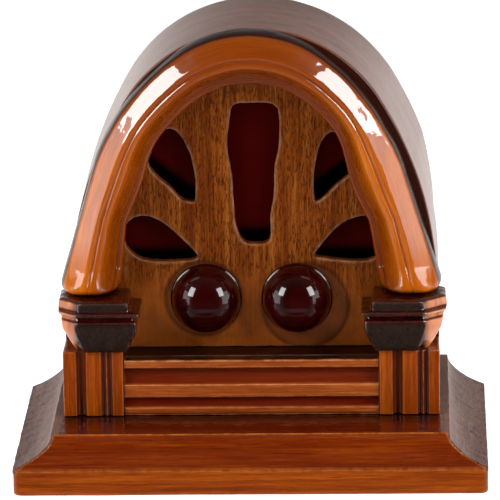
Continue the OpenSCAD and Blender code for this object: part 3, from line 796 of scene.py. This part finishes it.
def make_plinth():
    bolt_holes = [circle_at(x, y, BOLT_HOLE_R) for x, y in CHASSIS_BOLTS]
    base = prism(
        "base_board_shaped",
        rounded_box((base_low.x, base_low.y), (base_high.x, base_high.y), 4.5),
        base_low.z, base_high.z, along_z, bolt_holes, edge=1.6,
    )
    hand_worked(base, voxel=1.2, relax=2, wobble=0.2, reach=30)
    finish_piece(base, WOODS["base"], "base_board")

    core = prism(
        "plinth_core_shaped",
        rounded_box((core_low.x, core_low.y), (core_high.x, core_high.y), 1.5),
        core_low.z, core_high.z - 0.2, along_z, bolt_holes, edge=0.8,
    )
    hand_worked(core, voxel=1.4, relax=1, wobble=0.12, reach=30)
    # Painted shadow: the plinth top is darkened in a strip along the cabinet's front foot
    end = reeded_high.x + 44
    store_darkening(core, lambda at: fade(-76, -60, at.y) * fade(end, end - 6, abs(at.x)))
    finish_piece(core, WOODS["core"], "plinth_core")

    side_run = half_w - core_high.x
    front_run = core_low.y + half_d
    rise = core_high.z - base_high.z
    rings = []
    for k in range(81):
        u = 2 * k / 80 - 1
        ring = []
        for (fx, _), (fy, h) in zip(cove_section(side_run, rise), cove_section(front_run, rise)):
            ring.append((u * (half_w - fx - 0.3), -half_d + fy, base_high.z + h))
        rings.append(ring)
    cove = stacked("plinth_cove_front_shaped", rings)
    hand_worked(cove, voxel=0.8, relax=3, wobble=0.18, reach=22, seed=3)
    finish_piece(cove, WOODS["cove"], "plinth_cove_front")

    shelf = core_high.x - shell_high.x - 0.3
    section = cove_section(side_run, rise, shelf)
    mitre = [-half_d + fy - 0.2 for fy, _ in cove_section(front_run, rise)]
    for side, name in ((-1, "plinth_cove_left"), (1, "plinth_cove_right")):
        rings = []
        for k in range(61):
            t = k / 60
            rings.append([
                (side * (half_w - fx), front + t * (half_d - front), base_high.z + h)
                for (fx, h), front in zip(section, mitre)
            ])
        cove = stacked(name + "_shaped", rings)
        shove(cove, 0.3, 7, seed=5 + side)
        finish_piece(cove, WOODS["cove_side"], name, smooth_angle=35)


def circle_at(x, y, r, count=24):
    turns = [2 * math.pi * i / count for i in range(count)]
    return [Vector((x + r * math.cos(a), y + r * math.sin(a))) for a in turns]


# ---- Cabinet ----


def store_vectors(obj, name, values):
    layer = obj.data.attributes.new(name, "FLOAT_VECTOR", "POINT")
    layer.data.foreach_set("vector", [c for v in values for c in v])


def store_darkening(obj, depth, black=lambda at: 0.0):
    """Keeps how far each point is darkened, and how far blackened, from its place in millimetres;
    on some pieces this is painted shade.
    """
    places = [v.co / MM for v in obj.data.vertices]
    store_vectors(obj, "darkening", [(depth(at), black(at), 0) for at in places])


def make_shell():
    """The bent cabinet, with its grain running round the arch."""
    outer = resampled(to_foot(shell_arch(0), shell_high.x, shell_low.z), 2.0)
    inner = resampled(to_foot(shell_arch(shell_t), shell_high.x - shell_t, shell_low.z), 2.0)
    inner = resampled(inner, length_of(inner) / (len(outer) - 1))
    edge = 1.6
    inner_edge = 0.6
    low, high = shell_low.y, shell_high.y
    rounding = []
    for degrees in (0, 22, 45, 68, 90):
        a = math.radians(degrees)
        rounding.append((edge * (1 - math.sin(a)), edge * (1 - math.cos(a))))
    # Round the section from the front edge, over the outside, to the back edge and the inside
    section = [(depth, low + y) for depth, y in rounding]
    section += [(0.0, low + edge + (high - low - 2 * edge) * k / 40) for k in range(1, 40)]
    section += [(depth, high - y) for depth, y in reversed(rounding)]
    section += [(shell_t - inner_edge, high), (shell_t, high - inner_edge)]
    section += [(shell_t, low + inner_edge), (shell_t - inner_edge, low)]
    rings = []
    grain = []
    length = 0.0
    for k, (o, i) in enumerate(zip(outer, inner)):
        length += (o - outer[k - 1]).length if k else 0
        left = 3.4 * fade(112, 135, o.y)
        right = fade(150, 205, o.y)
        back = 5.7 - 2.8 * fade(250, 295, o.y)
        ring = []
        for depth, y in section:
            p = o.lerp(i, depth / shell_t)
            # It was bent by hand: its left wall stands in, and its back leans to the right
            twist = right * (0.8 + back * fade(low, high, y))
            shift = left + (twist - left) * fade(-0.5, 0.5, o.x / shell_high.x)
            ring.append((p.x + shift, y, p.y))
            grain.append((length * MM, y * MM, depth * MM))
        rings.append(ring)
    shell = stacked("cabinet_shell_shaped", rings)
    store_vectors(shell, "grain", grain)
    shove(shell, 0.2, 40)
    finish_piece(shell, WOODS["shell"], "cabinet_shell", smooth_angle=40)


# A darker disc on the panel round each knob, with a darker line along its edge: x, z and radius
KNOB_DISCS = ((-33, 113.5, 26.0), (36.5, 108, 29.5))


def make_panel():
    """The grille panel with its slot and leaves, its edges rounded by hand."""
    outline = to_foot(shell_arch(shell_t + 0.1), panel_high.x, panel_low.z)
    outline = resampled(outline, 3.0, closed=True)
    cuts = (SLOT, UPPER_LEAF_LEFT, UPPER_LEAF_RIGHT, LOWER_LEAF_LEFT, LOWER_LEAF_RIGHT)
    holes = [smooth(cut) for cut in cuts]
    holes += [circle_at(x, z, SHAFT_HOLE_R) for x, z in KNOBS]
    front, back = panel_low.y, panel_high.y
    panel = prism("grille_panel_shaped", outline, front, back, upright, holes, edge=0.9)
    hand_worked(panel, voxel=0.9, relax=4, wobble=0.35, reach=9, seed=2)

    def past_edge(at):
        """How far a point lies outside the nearer disc, and below 0 inside it."""
        return min(math.hypot(at.x - x, at.z - z) - r for x, z, r in KNOB_DISCS)

    store_darkening(
        panel,
        lambda at: 0.62 * fade(0.8, -0.8, past_edge(at)),
        lambda at: 0.5 * fade(2.0, 0.4, abs(past_edge(at))),
    )
    finish_piece(panel, WOODS["panel"], "grille_panel")


# Section of the arch moulding: (share of its width from the inner edge, share of its depth)
TRIM_SECTION = [
    (0.0, 0.0), (0.002, 0.12), (0.02, 0.2), (0.05, 0.235), (0.09, 0.24), (0.115, 0.26),
    (0.16, 0.35), (0.22, 0.51), (0.28, 0.69), (0.33, 0.83), (0.38, 0.92), (0.43, 0.96),
    (0.48, 0.96), (0.525, 0.93), (0.56, 0.98), (0.6, 1.0), (0.64, 0.985), (0.7, 0.935),
    (0.78, 0.865), (0.86, 0.795), (0.925, 0.735), (0.965, 0.65), (0.99, 0.47), (1.0, 0.25),
    (1.0, 0.0),
]


def catmull(points, steps):
    """A smooth open line through its points."""
    line = [Vector(p) for p in points]
    made = []
    for i in range(len(line) - 1):
        a = line[max(i - 1, 0)]
        b, c = line[i], line[i + 1]
        d = line[min(i + 2, len(line) - 1)]
        for k in range(steps):
            t = k / steps
            made.append(0.5 * (2 * b + (c - a) * t + (2 * a - 5 * b + 4 * c - d) * t * t
                               + (3 * b - a - 3 * c + d) * t ** 3))
    made.append(line[-1])
    return made


def make_trim():
    """The thick arch moulding, swept from one foot to the other with rounded ends."""
    stations = 320
    outer_line = trim_outer()
    inner_line = trim_inner()
    outer_length = length_of(outer_line)
    outer = resampled(outer_line, outer_length / stations)
    inner = resampled(inner_line, length_of(inner_line) / stations)
    section = catmull(TRIM_SECTION, 3)
    depth = face_y - trim_low.y
    round_end = 9.0
    drip = 6.0
    rings = []
    grain = []
    profile = []
    for k, (o, i) in enumerate(zip(outer, inner)):
        at = outer_length * k / stations
        from_end = min(at, outer_length - at)
        ease = math.sqrt(max(0.0, 1 - (1 - min(1.0, from_end / round_end)) ** 2))
        squeeze = 0.62 + 0.38 * ease
        forward = drip * fade(30, 4, from_end) ** 2
        middle = o.lerp(i, 0.52)
        plainer = 0.85 * fade(20, 4, from_end)
        ring = []
        for across, high in section:
            domed = math.sqrt(max(0.0, 1 - (2 * across - 1) ** 4))
            high += (domed - high) * plainer
            p = i.lerp(o, across)
            p = middle + (p - middle) * squeeze
            y = face_y + 0.4 - ((depth + 0.4) * (0.5 + 0.5 * ease) + forward) * high
            ring.append((p.x, y, p.y))
            grain.append((at * MM, (o - i).length * across * MM, high * depth * MM))
            profile.append((across, high, 0))
        rings.append(ring)
    trim = stacked("arch_trim_shaped", rings)
    store_vectors(trim, "grain", grain)
    store_vectors(trim, "profile", profile)
    shove(trim, 0.28, 16, seed=4)
    finish_piece(trim, trim_material(), "arch_trim", smooth_angle=60)


def banded(bands, at, beyond, within):
    """Full strength well within the nearest stained band, and none beyond it."""
    return max(
        strength * fade(r + beyond, r - within, abs(at - middle)) for middle, r, strength in bands
    )


# Flutes and the darkening in them: distance from the pilaster's left side, radius and strength
FLUTES = ((12.3, 3.4), (27.7, 1.8), (31.7, 1.8))
FLUTE_DARKENING = ((12.3, 3.4, 0.85), (29.7, 3.9, 1.0))


def make_pilasters():
    """Fluted blocks: the same moulding twice, with its flutes in the same order."""
    for name in ("pilaster_left", "pilaster_right"):
        low, high = box_mm(name)
        outline = [Vector((low.x, high.y)), Vector((low.x, low.y))]
        for middle, r in FLUTES:
            for k in range(13):
                a = math.pi * (1 + k / 12)
                outline.append(Vector((low.x + middle + r * math.cos(a), low.y - r * math.sin(a))))
        outline += [Vector((high.x, low.y)), Vector((high.x, high.y))]
        outline = resampled(outline, 0.8, closed=True)
        block = prism(name + "_shaped", outline, low.z, capital_foot + 0.2, along_z, edge=0.5)
        hand_worked(block, voxel=0.6, relax=3, wobble=0.18, reach=14, seed=high.x * 0.1)
        store_darkening(block, lambda at: banded(FLUTE_DARKENING, at.x - low.x, 0.9, 0.6))
        finish_piece(block, WOODS["pilaster"], name)


# Hollows between the reeds, and the painted shade in them: height, radius and strength
REED_HOLLOWS = ((49.4, 3.8), (67.7, 6.0))
REED_SHADE = ((38.5, 4.2, 1.0), (49.4, 3.8, 1.0), (67.7, 6.0, 0.9))


def make_reeded():
    """The panel of level reeds between the pilasters."""
    front, back = reeded_low.y, reeded_high.y
    outline = [Vector((back, reeded_low.z)), Vector((front, reeded_low.z))]
    for middle, r in REED_HOLLOWS:
        reach = math.acos(1 / r)
        for k in range(17):
            a = -reach + 2 * reach * k / 16
            outline.append(Vector((front - 1 + r * math.cos(a), middle + r * math.sin(a))))
    outline += [Vector((front, reeded_high.z)), Vector((back, reeded_high.z))]
    panel = prism("reeded_panel_shaped", resampled(outline, 0.8, closed=True),
                  reeded_low.x + 0.1, reeded_high.x - 0.1, along_x, edge=0.5)
    hand_worked(panel, voxel=0.7, relax=3, wobble=0.25, reach=15, seed=7)
    # Painted shade in the hollows between the reeds, and a painted shadow blackening the top edge
    # under the ledge
    store_darkening(
        panel,
        lambda at: banded(REED_SHADE, at.z, 0.3, 1.2),
        lambda at: fade(reeded_high.z - 1.0, reeded_high.z - 0.3, at.z),
    )
    finish_piece(panel, WOODS["reeded"], "reeded_panel")


def make_ledge():
    outline = rounded_box((ledge_low.x, ledge_low.y), (ledge_high.x, ledge_high.y), 0.8, 2)
    ledge = prism("ledge_board_shaped", outline, ledge_low.z, ledge_high.z, along_z, edge=0.8)
    hand_worked(ledge, voxel=1.0, relax=2, wobble=0.15, reach=20)
    finish_piece(ledge, WOODS["ledge"], "ledge_board")


def capital_ring(side, z, inner, corner, outer, front):
    """Plan of a capital with a chamfered outer front corner."""
    plan = [(inner, face_y), (inner, front), (corner, front)]
    plan += [(outer, front + outer - corner), (outer, face_y)]
    line = resampled([Vector(p) for p in plan], 2.0, closed=True)
    return [(side * p.x, p.y, z) for p in line]


# Sections from the foot up: z, inner end, start of the chamfer, outer end and how far back
CAPITAL_ROWS = (
    (capital_foot, 86, 112, 117, 5.5), (capital_foot + 1, 84.5, 113, 118.5, 3.8),
    (90, 82, 114, 121, 2), (97, 78.5, 116, 125, 0.6), (101, 77, 117.5, 127.5, 0),
    (107.5, 77, 118, 128.8, 0.2), (108.5, 79, 117.5, 128.8, 2.2), (111, 79, 117.5, 129.2, 2.4),
)
CAP_ROWS = (
    (111, 76, 118, 129.6, 0.6), (112, 74.8, 118.5, 130.3, -0.8), (113.6, 74.8, 118.5, 130.8, -0.6),
    (114.6, 82, 116.5, 131, 2.4), (120.3, 82.5, 115.5, 130.4, 2.2), (121.5, 84, 113.5, 127.5, 4.2),
)


def capital_rings(rows, side, fuller):
    return [
        capital_ring(side, z, inner, corner, outer + fuller, capital_low.y + back)
        for z, inner, corner, outer, back in rows
    ]


def make_capitals():
    """Each capital is a tapered block with a stepped slab on it."""
    material = capital_material()
    for side, word, fuller in ((-1, "left", 0.0), (1, "right", 2.2)):
        count = min(len(ring) for ring in capital_rings(CAPITAL_ROWS, side, fuller))
        for part, rows, relax, wobble, seed in (
            ("capital", CAPITAL_ROWS, 4, 0.35, 11),
            ("capital_cap", CAP_ROWS, 3, 0.3, 17),
        ):
            rings = [even_ring(ring, count) for ring in capital_rings(rows, side, fuller)]
            name = f"{part}_{word}"
            block = stacked(name + "_shaped", rings)
            hand_worked(block, voxel=0.7, relax=relax, wobble=wobble, reach=9, seed=seed + side)
            finish_piece(block, material, name)


def even_ring(ring, count):
    """The same ring with count points, from the same corner."""
    z = ring[0][2]
    line = [Vector(p[:2]) for p in ring]
    even = resampled(line, length_of(line + line[:1]) / count, closed=True)[:count]
    return [(p.x, p.y, z) for p in even]


# ---- Cloth ----


def cloth_material():
    """Dark maroon grille cloth: a fine matt weave, with painted shade along the foot of each
    opening.
    """
    g = Graph("grille_cloth_weave")
    weave = g.mix(0.5, g.wave("X", 700), g.wave("Z", 700))
    slub = g.noise((60, 60, 900), detail=3)
    tone = g.mix(0.4, weave, slub)
    colour = g.ramp(tone, (0.25, (0.016, 0.0002, 0.0002)), (0.75, (0.038, 0.0003, 0.0003)))
    # Painted shade: the cloth is darkened along the foot of each opening
    outside = g.maths("ABSOLUTE", g.place("X"))
    slope = g.times(g.minus(outside, 0.038), 0.77)
    upper = g.minus(g.minus(g.place("Z"), 0.183), slope)
    lower = g.minus(g.place("Z"), 0.141)
    slot = g.minus(g.place("Z"), 0.155)
    is_upper = g.maths("GREATER_THAN", g.place("Z"), 0.176)
    is_slot = g.maths("LESS_THAN", outside, 0.028)
    rise = g.mix(is_slot, g.mix(is_upper, lower, upper), slot)
    shade = g.ramp(g.times(rise, 50.0), (0.12, 0.02), (0.55, 1.0), smooth=True)
    colour = g.mix(1.0, colour, shade, "MULTIPLY")
    g.surface(
        Base_Color=colour,
        Roughness=g.spread(slub, 0.5, 0.65),
        Specular_IOR_Level=0.01,
        Normal=g.bump(weave, 0.00015, 0.35),
    )
    return g.material


def make_cloth():
    """One stretched sheet, cut to the arch behind the panel."""
    arch = [p for p in shell_arch(shell_t + 4) if p.y > 200]
    outline = resampled(to_foot(arch, cloth_high.x - 1.1, cloth_low.z), 3.0, closed=True)
    front, back = cloth_low.y + 0.1, cloth_high.y - 0.05
    sheet = prism("grille_cloth_woven", outline, front, back, upright, edge=0.05, steps=1)
    finish_piece(sheet, cloth_material(), "grille_cloth", smooth_angle=40)
    pairs = zip(outline, outline[1:] + outline[:1])
    area = abs(sum(p.x * q.y - q.x * p.y for p, q in pairs)) / 2


# ---- Knobs ----


def knob_material():
    """Very dark maroon, deep gloss, with a little dust on slightly uneven lacquer."""
    g = Graph("knob_lacquer")
    cloud = g.noise(60, detail=3)
    colour = g.spread(cloud, (0.008, 0.0003, 0.0003), (0.02, 0.0006, 0.0005))
    dust = g.ramp(g.noise(700, detail=2), (0.66, 0.0), (0.72, 1.0))
    g.surface(
        Base_Color=colour,
        Roughness=g.ramp(dust, (0.0, 0.16), (1.0, 0.4)),
        Specular_IOR_Level=0.04,
        Coat_Weight=1.0,
        Coat_Roughness=0.03,
        Coat_IOR=1.38,
        Coat_Normal=g.bump(g.noise(90), 0.0006, 0.08),
        Normal=g.bump(cloud, 0.0002, 0.2),
    )
    return g.material


def make_knobs():
    """Domed knobs on a thin rim, bored for their shafts, one on each control."""
    material = knob_material()
    for name, body in (("tuning_knob", "tuning_control"), ("volume_knob", "volume_control")):
        low, high = box_mm(name)
        centre = ((low.x + high.x) / 2, (low.z + high.z) / 2)
        r = (high.x - low.x) / 2
        back = high.y
        dome_r = r - 1.1
        bore = 3.25
        profile = [(bore, back), (r - 1.6, back), (r - 0.6, back - 0.3), (r, back - 1.1),
                   (r - 0.1, back - 2.0), (r - 0.7, back - 2.6), (dome_r - 0.25, back - 2.9)]
        top = back - low.y - 3.2
        for degrees in range(0, 90, 4):
            a = math.radians(degrees)
            profile.append((dome_r * math.cos(a), back - 3.2 - top * math.sin(a)))
        profile += [(0.0, low.y), (0.0, back - 13), (bore, back - 13), (bore, back)]
        knob = turned(name + "_turned", profile, centre)
        shove(knob, 0.07, 16, seed=centre[0])
        finish_piece(knob, material, name, body, smooth_angle=50)


# ---- What stays as the CAD made it ----


def glass_material():
    """Clear thin glass, silvered at the top by the getter."""
    g = Graph("valve_glass")
    top = g.ramp(g.place("Z"), (0.158, 0.0), (0.168, 1.0))
    g.surface(
        Base_Color=g.mix(top, (0.93, 0.95, 0.93), (0.55, 0.55, 0.57)),
        Metallic=g.times(top, 0.9),
        Roughness=g.ramp(top, (0.0, 0.02), (1.0, 0.16)),
        Transmission_Weight=g.ramp(top, (0.0, 1.0), (1.0, 0.0)),
        IOR=1.45,
    )
    return g.material


def lamination_material():
    g = Graph("laminations")
    wave = g.wave("Y", 900, 0.6)
    cloud = g.noise(120, detail=4)
    colour = g.spread(g.mix(0.5, wave, cloud), (0.035, 0.03, 0.028), (0.16, 0.13, 0.11))
    g.surface(
        Base_Color=colour,
        Metallic=0.7,
        Roughness=g.spread(cloud, 0.35, 0.6),
        Normal=g.bump(wave, 0.0002, 0.6),
    )
    return g.material


def winding_material(name, low, high):
    g = Graph(name)
    wave = g.wave("Z", 1100, 0.3)
    cloud = g.noise(80, detail=3)
    g.surface(
        Base_Color=g.spread(g.mix(0.5, wave, cloud), low, high),
        Roughness=g.spread(cloud, 0.4, 0.6),
        Normal=g.bump(wave, 0.0002, 0.5),
    )
    return g.material


# Slots of plain looks: name, colour, roughness and what else differs
PLAIN_LOOKS = (
    ("basket_paint", (0.11, 0.115, 0.12), 0.5, dict(variety=0.25, speck=900, bump=0.0002)),
    ("cone_paper", (0.055, 0.04, 0.032), 0.85, dict(variety=0.3, speck=1200, bump=0.0002)),
    ("pot_iron", (0.028, 0.028, 0.03), 0.38, dict(variety=0.3, bump=0.0001)),
    ("screw_steel", (0.45, 0.44, 0.42), 0.32, dict(metallic=1.0)),
    ("chassis_steel", (0.42, 0.42, 0.4), 0.42, dict(metallic=0.9, variety=0.22, speck=200)),
    ("plate_aluminium", (0.6, 0.6, 0.6), 0.34, dict(metallic=1.0, variety=0.1)),
    ("ceramic", (0.62, 0.56, 0.44), 0.55, dict(bump=0.0001)),
    ("shaft_brass", (0.55, 0.38, 0.14), 0.28, dict(metallic=1.0)),
    ("pot_case", (0.1, 0.062, 0.04), 0.4, dict(variety=0.2)),
    ("felt", (0.04, 0.012, 0.012), 0.95, dict(variety=0.35, speck=2200, bump=0.0005)),
    ("phenolic", (0.13, 0.06, 0.025), 0.45, dict(variety=0.25, speck=900)),
    ("valve_metal", (0.09, 0.09, 0.095), 0.4, dict(metallic=0.9, variety=0.3)),
)


def dress_cad():
    """Each CAD node that stays gets its slot's material, and a small bevel where it is boxy."""
    looks = {
        "wood_block": WOODS["block"],
        "board": WOODS["board"],
        "copper": winding_material("voice_coil_wire", (0.2, 0.06, 0.02), (0.5, 0.2, 0.08)),
        "coil_paper": winding_material("winding_paper", (0.12, 0.045, 0.015), (0.3, 0.14, 0.05)),
        "laminations": lamination_material(),
        "valve_glass": glass_material(),
        "valve_base": plain(
            "valve_bakelite", (0.022, 0.012, 0.008), 0.22, variety=0.3, Coat_Weight=0.5
        ),
        "grommet": plain("grommet_rubber", (0.014, 0.014, 0.015), 0.7, variety=0.3, bump=0.0001),
    }
    for name, colour, roughness, more in PLAIN_LOOKS:
        looks[name] = plain(name, colour, roughness, **more)
    boxy = {
        "chassis_pan", "volume_bracket", "transformer_core", "output_transformer",
        "aerial_earth_strip",
    }
    slots = {s["node"]: s["material_slot"] for s in frame["record"]["subparts"]}
    for name, obj in frame["nodes"].items():
        if obj.hide_render or slots[name] not in looks:
            continue
        obj.data.materials.clear()
        obj.data.materials.append(looks[slots[name]])
        if name in boxy:
            bevel = obj.modifiers.new("bevel", "BEVEL")
            bevel.width = 0.4 * MM
            bevel.segments = 2
            bevel.angle_limit = math.radians(50)


# ---- Floor, light and camera ----


def make_stage():
    reach = 9000
    corners = [(-reach, -reach, 0), (reach, -reach, 0), (reach, reach, 0), (-reach, reach, 0)]
    floor = new_object("floor", corners, [(0, 1, 2, 3)])
    g = Graph("floor_paper")
    paper = g.spread(g.noise(3), 0.9, 0.93)
    g.surface(Base_Color=paper, Roughness=0.75, Emission_Color=(1, 1, 1), Emission_Strength=0.75)
    floor.visible_glossy = False
    floor.data.materials.append(g.material)

    # A room bright behind the object and low down, and a table's glow from in front of it
    sky = SkyGraph("studio")
    y, z = sky.place("Y"), sky.place("Z")
    behind = sky.ramp(sky.plus(y, 1.0), (0.25, 0.03), (1.0, 1.0))
    above = sky.ramp(sky.plus(z, 0.5), (0.44, 1.0), (0.76, 0.14))
    front = sky.ramp(sky.plus(y, 1.0), (0.2, 1.0), (0.4, 0.0))
    table = sky.ramp(sky.plus(z, 1.0), (0.42, 0.0), (0.47, 1.0), (0.6, 1.0), (0.66, 0.0))
    room = sky.times(sky.times(behind, above), 1.7)
    sky.surface(Strength=sky.plus(room, sky.times(sky.times(front, table), 0.5)))
    bpy.context.scene.world = sky.material


def softbox(name, azimuth, elevation, distance, width, height, power):
    """A rectangular lamp that looks at the object. Azimuth 0 is in front, and 90 to its right."""
    target = Vector((0, 0, 0.16))
    a, e = math.radians(azimuth), math.radians(elevation)
    lamp = bpy.data.lights.new(name, "AREA")
    lamp.shape = "RECTANGLE"
    lamp.size, lamp.size_y = width, height
    lamp.energy = power
    obj = linked(name, lamp)
    away = Vector((math.sin(a) * math.cos(e), -math.cos(a) * math.cos(e), math.sin(e)))
    obj.location = target + away * distance
    obj.rotation_mode = "QUATERNION"
    obj.rotation_quaternion = away.to_track_quat("Z", "Y")
    return obj


def make_lights():
    for side, word in ((-1, "left"), (1, "right")):
        softbox(word + "_softbox", side * 55, 27, 1.6, 0.52, 0.74, 20)
        softbox(word + "_low_softbox", side * 69, 6, 1.6, 0.86, 0.95, 7.5)
    fill = softbox("front_fill", 0, 42, 2.6, 1.6, 0.8, 9)
    fill.visible_glossy = False


def make_camera():
    """The view of the photographed side: far away, a little above and a little to the right."""
    place = Vector((0.1123, -3.7147, 1.0703))
    target = Vector((-0.001, -0.006, 0.1452))
    roll = math.radians(-0.82)
    forward = (target - place).normalized()
    level = forward.cross(Vector((0, 0, 1))).normalized()
    up = level.cross(forward)
    right = math.cos(roll) * level + math.sin(roll) * up
    up = right.cross(forward)
    data = bpy.data.cameras.new("camera")
    data.sensor_width = 36
    data.lens = 402.8
    data.clip_end = 50
    camera = linked("camera", data)
    turn = Matrix((right, up, -forward)).transposed()
    camera.matrix_world = Matrix.Translation(place) @ turn.to_4x4()
    bpy.context.scene.camera = camera
    bpy.context.scene.view_settings.view_transform = "Standard"


make_plinth()
make_shell()
make_panel()
make_trim()
make_pilasters()
make_reeded()
make_ledge()
make_capitals()
make_cloth()
make_knobs()
dress_cad()
make_stage()
make_lights()
make_camera()
